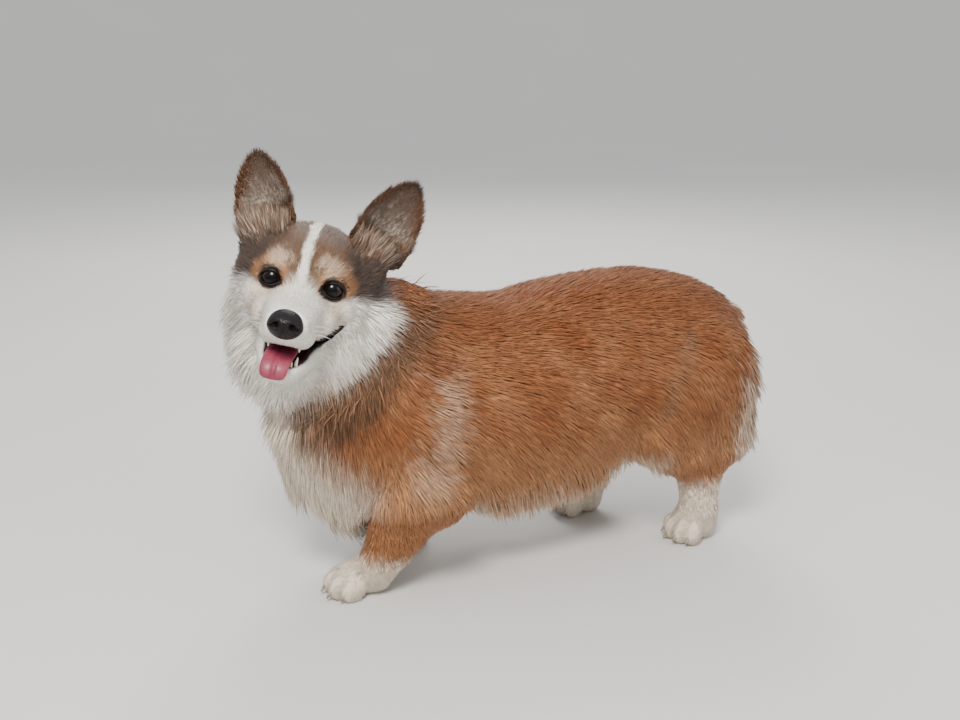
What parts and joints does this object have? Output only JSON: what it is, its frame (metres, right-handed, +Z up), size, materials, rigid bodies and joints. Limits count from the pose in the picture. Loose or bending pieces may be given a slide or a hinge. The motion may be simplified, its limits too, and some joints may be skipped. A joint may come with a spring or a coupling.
{
  "type": "pembroke welsh corgi",
  "caption": "Life-size short-legged herding dog standing still, long low body with a docked tail, head turned to its left with upright ears, open mouth and tongue out.",
  "frame": {"origin": "on the floor, below the middle of the whole dog's box", "axes": "+X towards the dog's chest and front paws, +Y to its left, +Z up"},
  "size_m": [0.573, 0.2492, 0.4257],
  "materials": {
    "red_coat": "thick double coat of warm red fur, matte with a soft sheen",
    "white_coat": "long cream-white fur of the bib, jaw and belly, matte",
    "head_coat": "short fur, sable and tan with a white blaze, muzzle and cheeks, matte",
    "ear_coat": "very short fur over thin leather, paler tufts inside the cup, matte",
    "leg_coat": "short dense fur fading from red to cream, matte",
    "paw": "short cream fur with dull horn claws, matte",
    "eye": "wet, clear and glossy over a dark brown iris",
    "nose_leather": "damp pebbled black skin, satin",
    "tongue": "wet pink flesh, satin gloss"
  },
  "bodies": {
    "root": {"head": "head_coat", "lower_jaw": "white_coat", "nose": "nose_leather", "tongue": "tongue", "eye_left": "eye", "eye_right": "eye", "ear_left": "ear_coat", "ear_right": "ear_coat", "neck": "red_coat", "chest": "red_coat", "abdomen": "red_coat", "rump": "red_coat", "tail": "red_coat", "foreleg_left": "leg_coat", "foreleg_right": "leg_coat", "forepaw_left": "paw", "forepaw_right": "paw", "thigh_left": "red_coat", "thigh_right": "red_coat", "shank_left": "leg_coat", "shank_right": "leg_coat", "hindpaw_left": "paw", "hindpaw_right": "paw"}
  },
  "joints": []
}
